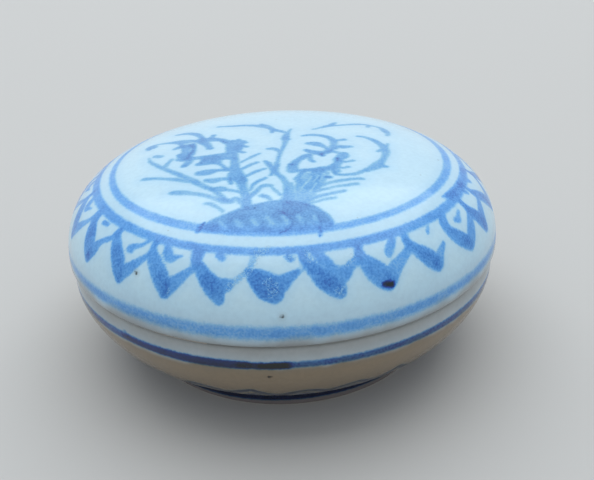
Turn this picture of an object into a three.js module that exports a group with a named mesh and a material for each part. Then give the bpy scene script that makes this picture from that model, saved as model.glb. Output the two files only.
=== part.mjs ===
// A small round covered box in porcelain: a footed bowl and the domed lid that drops over its
// inner flange. Both pieces are thrown bodies, so each one is a single closed profile turned
// about the +Z axis. Millimetres. The origin is the centre of the plane the foot ring stands on.

import * as THREE from 'three';

// Overall sizes.
const LID_RADIUS = 40.0;
const OVERALL_HEIGHT = 37.1;
const SEAT_HEIGHT = 19.6; // shoulder of the bowl that carries the lid's rim

// Walls.
const LID_WALL = 3.0; // crown thickness
const RIM_WIDTH = 3.9; // width of the unglazed ring on which the two pieces meet
const BOWL_FLOOR = 3.0;

// Locating flange, the thin upright collar that keeps the lid centred.
const FLANGE_HEIGHT = 3.4;
const FLANGE_WALL = 2.2;
const FLANGE_ROUND = 0.7;

// Foot ring.
const FOOT_RADIUS = 28.9;
const FOOT_HEIGHT = 2.7;
const FOOT_WIDTH = 3.0;
const FOOT_RECESS = 2.0; // depth of the hollow inside the ring
const FOOT_ROUND = 0.5;
const FOOT_TAPER = 0.3; // how far the ring draws in towards the table

// Outside edges where the two pieces meet.
const LID_EDGE_ROUND = 1.2;
const SHOULDER_ROUND = 0.7;
const SHOULDER_INSET = 0.9; // the bowl's shoulder stands this far inside the lid's edge
const SWELL = 0.4; // how far the bowl's rim swells out below the shoulder
const SWELL_DROP = 2.8; // depth of the swelling below the shoulder

// Working clearances.
const SEAT_GAP = 0.3; // under the lid's rim
const FLANGE_GAP = 0.6; // all round between the flange and the lid
const FLANGE_HEADROOM = 0.9; // above the flange, inside the lid

// Roundness of the curved outlines: an exponent of 2 is an ellipse, a larger one is squarer.
const DOME_CURVE = { radial: 3.51, height: 2.47 };
const BELLY_CURVE = { radial: 2.0, height: 1.75 };
const BOWL_CURVE = { radial: 4.0, height: 3.0 };

const SEGMENTS = 60;
const QUARTER = Math.PI / 2;

// Radii and heights that follow from the sizes above.
const lidRimZ = SEAT_HEIGHT + SEAT_GAP;
const lidMouthRadius = LID_RADIUS - RIM_WIDTH;
const flangeOuterRadius = lidMouthRadius - FLANGE_GAP;
const flangeInnerRadius = flangeOuterRadius - FLANGE_WALL;
const flangeTopZ = SEAT_HEIGHT + FLANGE_HEIGHT;
const lidRecessZ = flangeTopZ + FLANGE_HEADROOM;
const shoulderRadius = LID_RADIUS - SHOULDER_INSET;
const swellRadius = shoulderRadius + SWELL;
const swellZ = SEAT_HEIGHT - SWELL_DROP;
const bowlFloorZ = FOOT_RECESS + BOWL_FLOOR;

// Points on a quarter of a superellipse that starts vertical at (radius, centreZ) and would end
// level on the axis at centreZ + rise. startZ and endZ keep only the stretch between two heights.
function quarterOutline({ radius, centreZ, rise, curve, steps, startZ = centreZ, endZ = centreZ + rise }) {
  const angleAt = (z) => Math.asin(((z - centreZ) / rise) ** (curve.height / 2));
  const startAngle = angleAt(startZ);
  const endAngle = angleAt(endZ);
  const points = [];
  for (let i = 0; i <= steps; i += 1) {
    const angle = startAngle + ((endAngle - startAngle) * i) / steps;
    const r = radius * Math.max(Math.cos(angle), 0) ** (2 / curve.radial);
    const z = centreZ + rise * Math.sin(angle) ** (2 / curve.height);
    points.push(new THREE.Vector2(endZ === centreZ + rise && i === steps ? 0 : r, z));
  }
  return points;
}

// Points on a rounded corner, from one angle to another about (r, z).
function cornerOutline(r, z, round, startAngle, endAngle, steps = 3) {
  return new THREE.EllipseCurve(r, z, round, round, startAngle, endAngle).getPoints(steps);
}

function domeOutline(radius, centreZ, topZ, startZ, steps) {
  return quarterOutline({ radius, centreZ, rise: topZ - centreZ, curve: DOME_CURVE, startZ, steps });
}

// The profile runs from the axis along the underside and back to the axis over the top, so that
// the turned faces point outwards.
function turnedBody(name, profile, material) {
  const geometry = new THREE.LatheGeometry(profile, SEGMENTS);
  geometry.rotateX(QUARTER);
  const mesh = new THREE.Mesh(geometry, material);
  mesh.name = name;
  return mesh;
}

function makeLid() {
  const edgeZ = lidRimZ + LID_EDGE_ROUND;
  const outside = domeOutline(LID_RADIUS, lidRimZ, OVERALL_HEIGHT, edgeZ, 16);
  const inside = domeOutline(lidMouthRadius, lidRecessZ, OVERALL_HEIGHT - LID_WALL, lidRecessZ, 11);
  const edgeRadius = outside[0].x - LID_EDGE_ROUND;
  const profile = [
    ...inside.reverse(),
    new THREE.Vector2(lidMouthRadius, lidRimZ),
    ...cornerOutline(edgeRadius, edgeZ, LID_EDGE_ROUND, -QUARTER, 0).slice(0, -1),
    ...outside,
  ];
  const glaze = new THREE.MeshStandardMaterial({ color: 0xc9dbe6, roughness: 0.16, metalness: 0 });
  return turnedBody('lid', profile, glaze);
}

// The belly leaves the swollen rim vertically and is cut off where it meets the top of the foot.
function bellyOutline(steps) {
  const depth = swellZ - FOOT_HEIGHT;
  const wholeDepth = depth / (1 - (FOOT_RADIUS / swellRadius) ** BELLY_CURVE.radial) ** (1 / BELLY_CURVE.height);
  return quarterOutline({
    radius: swellRadius,
    centreZ: swellZ,
    rise: -wholeDepth,
    curve: BELLY_CURVE,
    endZ: FOOT_HEIGHT,
    steps,
  }).reverse();
}

function footOutline() {
  const outer = FOOT_RADIUS - FOOT_TAPER;
  const inner = outer - FOOT_WIDTH;
  return [
    new THREE.Vector2(0, FOOT_RECESS),
    new THREE.Vector2(inner, FOOT_RECESS),
    ...cornerOutline(inner + FOOT_ROUND, FOOT_ROUND, FOOT_ROUND, Math.PI, 3 * QUARTER),
    ...cornerOutline(outer - FOOT_ROUND, FOOT_ROUND, FOOT_ROUND, -QUARTER, 0),
  ];
}

// The bowl's rim: a slight swelling under a rounded shoulder, then the flat seat.
function shoulderOutline() {
  const roundZ = SEAT_HEIGHT - SHOULDER_ROUND;
  const swelling = new THREE.QuadraticBezierCurve(
    new THREE.Vector2(swellRadius, swellZ),
    new THREE.Vector2(swellRadius, (swellZ + roundZ) / 2),
    new THREE.Vector2(shoulderRadius, roundZ),
  );
  return [
    ...swelling.getPoints(4).slice(1, -1),
    ...cornerOutline(shoulderRadius - SHOULDER_ROUND, roundZ, SHOULDER_ROUND, 0, QUARTER),
  ];
}

function flangeOutline() {
  const roundZ = flangeTopZ - FLANGE_ROUND;
  return [
    new THREE.Vector2(flangeOuterRadius, SEAT_HEIGHT),
    ...cornerOutline(flangeOuterRadius - FLANGE_ROUND, roundZ, FLANGE_ROUND, 0, QUARTER),
    ...cornerOutline(flangeInnerRadius + FLANGE_ROUND, roundZ, FLANGE_ROUND, QUARTER, Math.PI),
  ];
}

function makeBase() {
  const mouthZ = SEAT_HEIGHT - BOWL_FLOOR;
  const inside = quarterOutline({
    radius: flangeInnerRadius,
    centreZ: mouthZ,
    rise: bowlFloorZ - mouthZ,
    curve: BOWL_CURVE,
    steps: 12,
  });
  const profile = [
    ...footOutline(),
    ...bellyOutline(12),
    ...shoulderOutline(),
    ...flangeOutline(),
    ...inside,
  ];
  const glaze = new THREE.MeshStandardMaterial({ color: 0xc4cccd, roughness: 0.2, metalness: 0 });
  return turnedBody('base', profile, glaze);
}

const box = new THREE.Group();
box.add(makeBase(), makeLid());

export default box;
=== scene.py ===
import math
import random

import bpy
import numpy as np
from mathutils import Matrix, Vector


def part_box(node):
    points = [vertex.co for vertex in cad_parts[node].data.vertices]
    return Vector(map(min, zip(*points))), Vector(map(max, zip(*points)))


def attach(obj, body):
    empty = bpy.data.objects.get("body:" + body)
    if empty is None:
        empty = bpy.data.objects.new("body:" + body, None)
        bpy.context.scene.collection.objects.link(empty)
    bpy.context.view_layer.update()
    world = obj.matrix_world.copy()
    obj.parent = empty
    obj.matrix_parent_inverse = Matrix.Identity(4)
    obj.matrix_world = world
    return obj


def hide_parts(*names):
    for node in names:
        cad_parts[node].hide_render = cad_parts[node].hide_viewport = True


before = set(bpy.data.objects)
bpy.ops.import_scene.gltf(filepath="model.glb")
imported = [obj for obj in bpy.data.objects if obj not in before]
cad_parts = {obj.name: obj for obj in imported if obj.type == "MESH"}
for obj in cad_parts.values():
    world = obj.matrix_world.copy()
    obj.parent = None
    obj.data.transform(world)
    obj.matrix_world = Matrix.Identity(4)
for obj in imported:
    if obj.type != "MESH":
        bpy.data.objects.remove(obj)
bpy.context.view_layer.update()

# ---------------------------------------------------------------------------------------------
# The lid: a domed porcelain cover thrown on the wheel, turned thin inside, painted in cobalt on
# the raw clay and glazed all over except for the ring it stands on. It is loose: it sits on the
# bowl's shoulder by its own weight, and the bowl's upright flange keeps it from sliding off.
# ---------------------------------------------------------------------------------------------
MM = 0.001
lid_low, lid_high = (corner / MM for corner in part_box("lid"))
LID_RADIUS = lid_high.x
CROWN_Z = lid_high.z
RIM_Z = lid_low.z
LID_WALL = 3.0
LID_RIM_WIDTH = 3.9
LID_EDGE_ROUND = 1.2
LID_MOUTH_ROUND = 0.4
LID_MOUTH_RADIUS = LID_RADIUS - LID_RIM_WIDTH
LID_RECESS_DEPTH = 4.0
LID_RECESS_Z = RIM_Z + LID_RECESS_DEPTH
DOME_CURVE = (3.51, 2.47)
QUARTER = math.pi / 2


def quarter_curve(radius, centre_z, rise, curve, start_z=None, end_z=None, steps=400):
    """A quarter of a superellipse, upright at (radius, centre_z) and level where it meets the axis.
    start_z and end_z keep only the stretch between two heights."""
    def angle_at(z):
        return math.asin(((z - centre_z) / rise) ** (curve[1] / 2))

    start = 0.0 if start_z is None else angle_at(start_z)
    end = QUARTER if end_z is None else angle_at(end_z)
    angles = np.linspace(start, end, steps)
    r = radius * np.maximum(np.cos(angles), 0) ** (2 / curve[0])
    z = centre_z + rise * np.sin(angles) ** (2 / curve[1])
    if end_z is None:
        r[-1] = 0
    return np.column_stack([r, z])


def corner_arc(r, z, round_radius, start, end, steps=24):
    """A rounded corner about (r, z), from one angle in quarter turns to another."""
    angles = np.linspace(start, end, steps) * QUARTER
    return np.column_stack([r + round_radius * np.cos(angles), z + round_radius * np.sin(angles)])


def evenly(points, step):
    """The same line with its points at equal steps of about the length given, ends included."""
    along = np.append(0, np.cumsum(np.hypot(*np.diff(points, axis=0).T)))
    places = np.linspace(0, along[-1], max(2, round(along[-1] / step) + 1))
    return np.column_stack([np.interp(places, along, column) for column in points.T])


def outline_object(name, stretches, finish, outside_end):
    """The turned profile as a line of vertices. Each stretch is (points, step between rings).
    Every vertex carries its distance along the profile and the number of its finish."""
    parts = [evenly(np.asarray(points, float), step) for points, step in stretches]
    line = np.vstack([parts[0]] + [part[1:] for part in parts[1:]])
    arc = np.append(0, np.cumsum(np.hypot(*np.diff(line, axis=0).T)))
    mesh = bpy.data.meshes.new(name)
    vertices = [(r * MM, 0, z * MM) for r, z in line]
    mesh.from_pydata(vertices, [(i, i + 1) for i in range(len(line) - 1)], [])
    mesh.attributes.new("arc", "FLOAT", "POINT").data.foreach_set("value", arc)
    finishes = [float(finish(r, z, s)) for (r, z), s in zip(line, arc)]
    mesh.attributes.new("finish", "FLOAT", "POINT").data.foreach_set("value", finishes)
    outline = bpy.data.objects.new(name, mesh)
    bpy.context.scene.collection.objects.link(outline)
    outline["outside_end"] = float(arc[np.argmin(np.hypot(*(line - outside_end).T))])
    outline["whole_arc"] = float(arc[-1])
    return outline


class Wiring:
    """A node tree under construction: add() makes a node and links or fills its inputs."""

    def __init__(self, tree):
        self.tree = tree

    def add(self, kind, inputs=None, **settings):
        made = self.tree.nodes.new(kind)
        for key, value in settings.items():
            setattr(made, key, value)
        for key, value in (inputs or {}).items():
            self.feed(made.inputs[key], value)
        return made

    def feed(self, socket, value):
        if isinstance(value, bpy.types.NodeSocket):
            self.tree.links.new(value, socket)
        else:
            socket.default_value = value

    def math(self, operation, *values, clamp=False):
        made = self.tree.nodes.new("ShaderNodeMath")
        made.operation = operation
        made.use_clamp = clamp
        for socket, value in zip(made.inputs, values):
            self.feed(socket, value)
        return made.outputs[0]

    def smooth(self, value, low, high, to_low=0.0, to_high=1.0):
        """value eased from low to high on to the range to_low to to_high."""
        made = self.add("ShaderNodeMapRange", interpolation_type="SMOOTHSTEP")
        for name, number in zip(("Value", "From Min", "From Max", "To Min", "To Max"),
                                (value, low, high, to_low, to_high)):
            self.feed(made.inputs[name], number)
        return made.outputs[0]

    def noise(self, place, scale, detail):
        made = self.add("ShaderNodeTexNoise", {"Vector": place, "Scale": scale, "Detail": detail})
        return made.outputs[0]

    def stored(self, name):
        return self.add("ShaderNodeAttribute", attribute_name=name).outputs["Fac"]

    def blend(self, share, first, second, kind="MIX"):
        """Two colours mixed by a share; a plain colour is given as three numbers."""
        made = self.tree.nodes.new("ShaderNodeMix")
        made.data_type = "RGBA"
        made.blend_type = kind
        # A mix node has sockets for every kind of data: these are the factor and its two colours.
        for socket, value in ((0, share), (6, first), (7, second)):
            self.feed(made.inputs[socket], (*value, 1) if isinstance(value, tuple) else value)
        return made.outputs[2]


# A body's finishes, as numbers kept on its outline.
PAINTED, BARE, LINING = 0, 1, 2
# The baked finish lies on two discs of a unit square, the outside in one corner and the inside in
# the opposite one, this far from the square's edges.
OUTER_DISC = 0.41
INNER_DISC = 0.165
MAP_MARGIN = 0.01
# Vertices closer than this many mm are joined: the seam, and the rings that shrink to a pole.
WELD = 0.004


def wheel_tree():
    """Turns an outline into a thrown body: a grid whose columns go round the axis, a little
    out of true as hand-thrown clay is, welded at the seam and the poles."""
    tree = bpy.data.node_groups.new("thrown_on_the_wheel", "GeometryNodeTree")
    inputs = {"Outline": "Geometry", "Columns": "Int", "Out of true": "Float", "Seed": "Float",
              "Outside end": "Float", "Whole arc": "Float", "Painted": "Material", "Bare": "Material",
              "Lining": "Material"}
    for name, kind in inputs.items():
        tree.interface.new_socket(name, in_out="INPUT", socket_type="NodeSocket" + kind)
    tree.interface.new_socket("Body", in_out="OUTPUT", socket_type="NodeSocketGeometry")
    w = Wiring(tree)
    given = w.add("NodeGroupInput").outputs
    outline_size = w.add("GeometryNodeAttributeDomainSize", {"Geometry": given["Outline"]})
    columns = w.math("ADD", given["Columns"], 1.0)
    grid = w.add("GeometryNodeMeshGrid", {
        "Vertices X": outline_size.outputs["Point Count"], "Vertices Y": columns}).outputs["Mesh"]
    index = w.add("GeometryNodeInputIndex").outputs[0]
    ring = w.math("FLOOR", w.math("DIVIDE", w.math("ADD", index, 0.5), columns))
    column = w.math("SUBTRACT", index, w.math("MULTIPLY", ring, columns))
    angle = w.math("MULTIPLY", w.math("DIVIDE", column, given["Columns"]), -math.tau)

    def along_outline(kind, source):
        sample = w.add("GeometryNodeSampleIndex", {"Geometry": given["Outline"], "Index": ring},
                       data_type=kind)
        w.feed(sample.inputs["Value"], source)
        return sample.outputs["Value"]

    def named(name):
        kept = w.add("GeometryNodeInputNamedAttribute", {"Name": name}, data_type="FLOAT")
        return kept.outputs["Attribute"]

    position = w.add("GeometryNodeInputPosition").outputs[0]
    place = w.add("ShaderNodeSeparateXYZ", {0: along_outline("FLOAT_VECTOR", position)})
    arc = along_outline("FLOAT", named("arc"))
    finish = along_outline("FLOAT", named("finish"))
    cosine = w.math("COSINE", angle)
    sine = w.math("SINE", angle)
    turned = w.add("ShaderNodeCombineXYZ", {
        0: w.math("MULTIPLY", place.outputs[0], cosine),
        1: w.math("MULTIPLY", place.outputs[0], sine),
        2: place.outputs[2]}).outputs[0]
    slump = w.add("ShaderNodeTexNoise", {
        "Vector": turned, "W": given["Seed"], "Scale": 28.0, "Detail": 1.0}, noise_dimensions="4D")
    off_centre = w.add("ShaderNodeVectorMath", {
        0: slump.outputs["Color"], 1: (0.5, 0.5, 0.5)}, operation="SUBTRACT")
    shift = w.add("ShaderNodeVectorMath", {
        0: off_centre.outputs[0], "Scale": given["Out of true"]}, operation="SCALE")
    moved = w.add("GeometryNodeSetPosition", {
        "Geometry": grid, "Position": turned, "Offset": shift.outputs[0]})
    with_arc = w.add("GeometryNodeStoreNamedAttribute", {
        "Geometry": moved.outputs[0], "Name": "arc", "Value": arc}, data_type="FLOAT", domain="POINT")

    # The map for the baked finish: the outside of the body as one disc and the inside as another.
    past_end = w.math("GREATER_THAN", arc, given["Outside end"])
    on_face = w.add("GeometryNodeFieldOnDomain", {0: past_end}, data_type="FLOAT", domain="FACE")
    is_inner = w.math("GREATER_THAN", on_face.outputs[0], 0.0)
    outer_scale = w.math("DIVIDE", OUTER_DISC, given["Outside end"])
    inside_length = w.math("SUBTRACT", given["Whole arc"], given["Outside end"])
    inner_scale = w.math("DIVIDE", INNER_DISC, inside_length)
    from_inner_pole = w.math("SUBTRACT", given["Whole arc"], arc)

    def switched(outer, inside):
        return w.math("ADD", w.math("MULTIPLY", outer, w.math("SUBTRACT", 1.0, is_inner)),
                      w.math("MULTIPLY", inside, is_inner))

    reach = switched(w.math("MULTIPLY", arc, outer_scale),
                     w.math("MULTIPLY", from_inner_pole, inner_scale))
    middle_u = switched(MAP_MARGIN + OUTER_DISC, 1 - MAP_MARGIN - INNER_DISC)
    middle_v = switched(1 - MAP_MARGIN - OUTER_DISC, MAP_MARGIN + INNER_DISC)
    chart = w.add("ShaderNodeCombineXYZ", {
        0: w.math("ADD", middle_u, w.math("MULTIPLY", reach, cosine)),
        1: w.math("ADD", middle_v, w.math("MULTIPLY", reach, sine))}).outputs[0]
    mapped = w.add("GeometryNodeStoreNamedAttribute", {
        "Geometry": with_arc.outputs[0], "Name": "OFBake", "Value": chart},
        data_type="FLOAT2", domain="CORNER")
    finished = w.add("GeometryNodeSetMaterial", {"Geometry": mapped.outputs[0], "Material": given["Painted"]})
    for number, name in ((BARE, "Bare"), (LINING, "Lining")):
        finished = w.add("GeometryNodeSetMaterial", {
            "Geometry": finished.outputs[0], "Selection": w.math("GREATER_THAN", finish, number - 0.5),
            "Material": given[name]})
    welded = w.add("GeometryNodeMergeByDistance", {
        "Geometry": finished.outputs[0], "Distance": WELD * MM})
    smooth = w.add("GeometryNodeSetShadeSmooth", {"Geometry": welded.outputs[0]})
    w.add("NodeGroupOutput", {"Body": smooth.outputs[0]})
    return tree


WHEEL = wheel_tree()


def throw(name, outline, columns, out_of_true, seed, painted):
    """Runs the wheel on an outline and returns the finished body as a plain mesh object."""
    modifier = outline.modifiers.new("wheel", "NODES")
    modifier.node_group = WHEEL
    values = {"Columns": columns, "Out of true": out_of_true * MM, "Seed": seed,
              "Outside end": outline["outside_end"], "Whole arc": outline["whole_arc"],
              "Painted": painted, "Bare": BARE_CLAY, "Lining": LINING_GLAZE}
    sockets = {item.name: item.identifier for item in WHEEL.interface.items_tree if item.in_out == "INPUT"}
    for key, value in values.items():
        modifier[sockets[key]] = value
    evaluated = outline.evaluated_get(bpy.context.evaluated_depsgraph_get())
    mesh = bpy.data.meshes.new_from_object(evaluated)
    mesh.name = name
    body = bpy.data.objects.new(name, mesh)
    bpy.context.scene.collection.objects.link(body)
    bpy.data.objects.remove(outline)
    return body


# Glazed porcelain: a glossy, slightly rippled glaze over white clay. Cobalt shows through it where
# the brush left some, softened at the edge of a stroke, mottled inside it and blistered in places.
# COBALT is what it lets through at each share of a full load, and CLOUDS are the (scale, detail,
# strength, tone) of the places where the glaze lies a little thicker.
FULL_LOAD = 1.7
COBALT = [
    (0.0, (1.0, 1.0, 1.0)), (0.15, (0.54, 0.77, 0.97)), (0.33, (0.22, 0.51, 0.93)),
    (0.50, (0.085, 0.30, 0.72)), (0.68, (0.026, 0.085, 0.45)), (0.85, (0.016, 0.042, 0.16)),
    (1.0, (0.014, 0.024, 0.034))]
CLOUDS = [(0.10, 3.0, 0.5, (0.90, 0.93, 0.96)), (1.3, 4.0, 0.6, (0.91, 0.92, 0.93))]
GARDEN_REACH = 29.4
GARDEN_GREY = (1.0, 0.97, 0.86)
IRON_STAIN = (0.20, 0.15, 0.10)
IRON = (0.022, 0.018, 0.012)


def new_surface(name, ior):
    """An empty material: its wiring, its shader, and the place on the body in mm."""
    material = bpy.data.materials.new(name)
    material.use_nodes = True
    w = Wiring(material.node_tree)
    shader = material.node_tree.nodes["Principled BSDF"]
    shader.inputs["IOR"].default_value = ior
    position = w.add("ShaderNodeTexCoord").outputs["Object"]
    here = w.add("ShaderNodeVectorMath", {0: position, "Scale": 1 / MM}, operation="SCALE").outputs[0]
    return material, w, shader, here


def set_ramp(ramp, stops):
    """Fills a colour ramp with (place, colour) stops."""
    while len(ramp.elements) < len(stops):
        ramp.elements.new(0.5)
    for element, (place, colour) in zip(ramp.elements, stops):
        element.position = place
        element.color = (*colour, 1)


def cobalt_below(w, here, glaze_colour):
    """The painting under the glaze: the colour with it, and the relief of burst blisters."""
    def noise(scale, detail):
        return w.noise(here, scale, detail)

    # A stroke's edge is ragged where the brush dragged, and soft where the glaze has drawn it out.
    gap = w.stored("stroke_gap")
    load = w.stored("stroke_load")
    feather = w.math("ADD", w.smooth(noise(1.1, 3.0), 0.25, 0.75, -0.10, 0.10),
                     w.smooth(noise(3.6, 1.0), 0.25, 0.75, -0.07, 0.07))
    cover = w.smooth(w.math("ADD", gap, feather), 0.32, -0.30)
    # Inside it the cobalt lies in pools and thin places, which a heavy load evens out.
    mottle = w.math("ADD", w.smooth(noise(0.32, 2.0), 0.3, 0.7, -0.13, 0.11),
                    w.smooth(noise(2.9, 2.0), 0.32, 0.68, -0.17, 0.15))
    evened = w.math("MULTIPLY", mottle, w.smooth(load, 0.8, 1.2, 1.0, 0.25))
    washed = w.math("MULTIPLY", load, w.math("ADD", evened, 1.0))
    # Blisters: fine bright threads where the glaze bubbled over a heavy patch and healed.
    patch = w.math("ADD", w.stored("blister_gap"), w.smooth(noise(1.3, 2.0), 0.2, 0.8, -0.5, 0.5))
    thread = w.math("ABSOLUTE", w.math("SUBTRACT", noise(2.1, 1.5), 0.5))
    burst = w.math("MULTIPLY", w.smooth(thread, 0.05, 0.008), w.smooth(patch, 0.25, -0.25))
    thinned = w.math("MULTIPLY", washed, w.smooth(burst, 0.0, 1.0, 1.0, 0.45))
    halo = w.smooth(gap, 1.6, 0.0, 0.0, 0.05)
    ink = w.math("ADD", w.math("MULTIPLY", cover, thinned), halo)
    cobalt = w.add("ShaderNodeValToRGB", {"Fac": w.math("DIVIDE", ink, FULL_LOAD)})
    set_ramp(cobalt.color_ramp, COBALT)
    # The scene on the crown was painted with a weaker, greyer mix than the borders.
    level = w.add("ShaderNodeVectorMath", {0: here, 1: (1.0, 1.0, 0.0)}, operation="MULTIPLY").outputs[0]
    reach = w.add("ShaderNodeVectorMath", {0: level}, operation="LENGTH").outputs["Value"]
    in_garden = w.smooth(reach, GARDEN_REACH + 1.5, GARDEN_REACH - 1.5)
    greyed = w.math("MULTIPLY", in_garden, w.smooth(ink, 0.05, 0.4))
    weaker = w.blend(1.0, cobalt.outputs[0], GARDEN_GREY, "MULTIPLY")
    painted = w.blend(1.0, glaze_colour, w.blend(greyed, cobalt.outputs[0], weaker), "MULTIPLY")
    # A grain of iron in the clay has burnt through as a dark speck in a faint brown stain.
    iron_edge = w.math("ADD", w.stored("iron_gap"), w.smooth(noise(4.0, 2.0), 0.2, 0.8, -0.03, 0.03))
    stained = w.blend(w.smooth(iron_edge, 0.9, 0.1, 0.0, 0.2), painted, IRON_STAIN)
    specked = w.blend(w.smooth(iron_edge, 0.32, 0.04), stained, IRON)
    return specked, burst


def glazed_porcelain(name, tones, roughness, is_painted):
    """tones are (height in mm, colour) stops: the colour goes by height. On the lid and the bowl
    the stops are mostly painted light: painted shade, painted highlight and painted reflection. roughness is
    its range."""
    material, w, shader, here = new_surface(name, 1.52)
    run = w.smooth(w.noise(here, 0.16, 2.0), 0.3, 0.7, -0.012, 0.012)
    height = w.math("DIVIDE", w.add("ShaderNodeSeparateXYZ", {0: here}).outputs[2], CROWN_Z)
    glaze = w.add("ShaderNodeValToRGB", {"Fac": w.math("ADD", height, run)})
    set_ramp(glaze.color_ramp, [(z / CROWN_Z, colour) for z, colour in tones])
    colour = glaze.outputs[0]
    for scale, detail, strength, tone in CLOUDS:
        thicker = w.smooth(w.noise(here, scale, detail), 0.35, 0.7, 0.0, strength)
        colour = w.blend(thicker, colour, w.blend(1.0, colour, tone, "MULTIPLY"))
    ripple = w.math("MULTIPLY", w.noise(here, 0.45, 1.0), 0.020)
    peel = w.math("MULTIPLY", w.noise(here, 2.6, 2.0), 0.0045)
    relief = w.math("ADD", ripple, peel)
    # A few pores: a dark prick in some of the cells of a coarse pattern.
    pores = w.add("ShaderNodeTexVoronoi", {"Vector": here, "Scale": 0.24})
    is_pore = w.smooth(w.add("ShaderNodeSeparateColor", {0: pores.outputs["Color"]}).outputs[0], 0.62, 0.70)
    pore = w.math("MULTIPLY", w.smooth(pores.outputs["Distance"], 0.055, 0.02), is_pore)
    relief = w.math("SUBTRACT", relief, w.math("MULTIPLY", pore, 0.05))
    colour = w.blend(w.math("MULTIPLY", pore, 0.45), colour, (0.20, 0.18, 0.15))
    if is_painted:
        colour, burst = cobalt_below(w, here, colour)
        relief = w.math("ADD", relief, w.math("MULTIPLY", burst, 0.035))
    w.feed(shader.inputs["Base Color"], colour)
    w.feed(shader.inputs["Roughness"], w.smooth(w.noise(here, 0.9, 3.0), 0.3, 0.75, *roughness))
    bump = w.add("ShaderNodeBump", {"Height": relief, "Distance": MM, "Strength": 1.0})
    w.feed(shader.inputs["Normal"], bump.outputs[0])
    return material


def bare_porcelain(name):
    """Unglazed fired clay: chalky, off-white, toned by handling, with a few iron grains."""
    material, w, shader, here = new_surface(name, 1.45)
    toned = w.add("ShaderNodeValToRGB", {"Fac": w.noise(here, 0.16, 6.0)})
    set_ramp(toned.color_ramp, [
        (0.3, (0.60, 0.55, 0.48)), (0.5, (0.67, 0.63, 0.57)), (0.72, (0.52, 0.44, 0.35))])
    sand = w.noise(here, 3.2, 3.0)
    grains = w.add("ShaderNodeTexVoronoi", {"Vector": here, "Scale": 1.1}).outputs["Distance"]
    speck = w.math("MULTIPLY", w.smooth(grains, 0.14, 0.06), 0.7)
    w.feed(shader.inputs["Base Color"], w.blend(speck, toned.outputs[0], (0.10, 0.055, 0.03)))
    w.feed(shader.inputs["Roughness"], w.smooth(sand, 0.3, 0.7, 0.62, 0.88))
    bump = w.add("ShaderNodeBump", {"Height": sand, "Distance": 0.03 * MM, "Strength": 1.0})
    w.feed(shader.inputs["Normal"], bump.outputs[0])
    return material


# The lid's glaze is painted darker and greyer over the lowest few mm of its side: painted shade near the
# seam, where less light reaches. Its side is set a little brighter than the crown, also painted light.
LID_GLAZE = glazed_porcelain(
    "lid_glaze",
    [(RIM_Z, (0.31, 0.31, 0.30)), (RIM_Z + 1.1, (0.41, 0.46, 0.48)), (RIM_Z + 2.6, (0.56, 0.74, 0.85)),
     (RIM_Z + 6.0, (0.60, 0.84, 0.97)), (CROWN_Z, (0.57, 0.80, 0.93))],
    roughness=(0.12, 0.24),
    is_painted=True)
BARE_CLAY = bare_porcelain("bare_porcelain")
LINING_GLAZE = glazed_porcelain(
    "lining_glaze",
    [(0.0, (0.58, 0.66, 0.66)), (RIM_Z, (0.62, 0.69, 0.69)), (CROWN_Z, (0.58, 0.66, 0.67))],
    roughness=(0.12, 0.26),
    is_painted=False)

# The profile of the lid, from the middle of the crown over the edge to the middle of the ceiling.
# The rings lie closest on the crown and the border, down to where the side turns steep.
STEEP_RADIUS = 38.9
WIPED_Z = RIM_Z + 1.6
dome = quarter_curve(LID_RADIUS, RIM_Z, CROWN_Z - RIM_Z, DOME_CURVE, start_z=RIM_Z + LID_EDGE_ROUND)[::-1]
lid_edge = corner_arc(dome[-1][0] - LID_EDGE_ROUND, RIM_Z + LID_EDGE_ROUND, LID_EDGE_ROUND, 0, -1)
lid_outside = np.vstack([dome, lid_edge[1:]])
mouth_edge = corner_arc(LID_MOUTH_RADIUS + LID_MOUTH_ROUND, RIM_Z + LID_MOUTH_ROUND, LID_MOUTH_ROUND, -1, -2)
lid_ceiling = quarter_curve(LID_MOUTH_RADIUS, LID_RECESS_Z, CROWN_Z - LID_WALL - LID_RECESS_Z, DOME_CURVE)
steep = int(np.searchsorted(dome[:, 0], STEEP_RADIUS))
lid_outside_arc = float(np.hypot(*np.diff(lid_outside, axis=0).T).sum())


def lid_finish(r, z, arc):
    """Bare on the ring it stands on, and glazed inside without any painting."""
    if arc > lid_outside_arc - LID_EDGE_ROUND / 2 and z < WIPED_Z:
        return BARE
    return LINING if arc > lid_outside_arc else PAINTED


lid_outline = outline_object(
    "lid_outline",
    [(dome[:steep + 1], 0.31),
     (dome[steep:], 0.42),
     (lid_edge, 0.24),
     ([lid_edge[-1], mouth_edge[0]], 0.8),
     (mouth_edge, 0.25),
     ([mouth_edge[-1], (LID_MOUTH_RADIUS, LID_RECESS_Z)], 1.0),
     (lid_ceiling, 2.0)],
    finish=lid_finish,
    outside_end=lid_edge[-1])
lid = throw("porcelain_lid", lid_outline, columns=480, out_of_true=0.16, seed=3.0, painted=LID_GLAZE)


# The painting, in cobalt brushed on the raw clay. A stroke is a smooth line through a few
# (across, along, half width) points in mm, and a Brushwork gathers what all of them leave at
# every vertex of a body: how far it is to the edge of the nearest stroke, up to FAR, and how much
# cobalt lies there. Vertices further from a stroke's line than NEARBY are passed over.
FAR = 5.0
NEARBY = 3.0
OUT_OF_REACH = 1e6
OVERLAP_SHARE = 0.12


def smooth_step(value, low, high):
    """value eased from low to high on to 0 to 1."""
    share = np.clip((value - low) / (high - low), 0, 1)
    return share * share * (3 - 2 * share)


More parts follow.
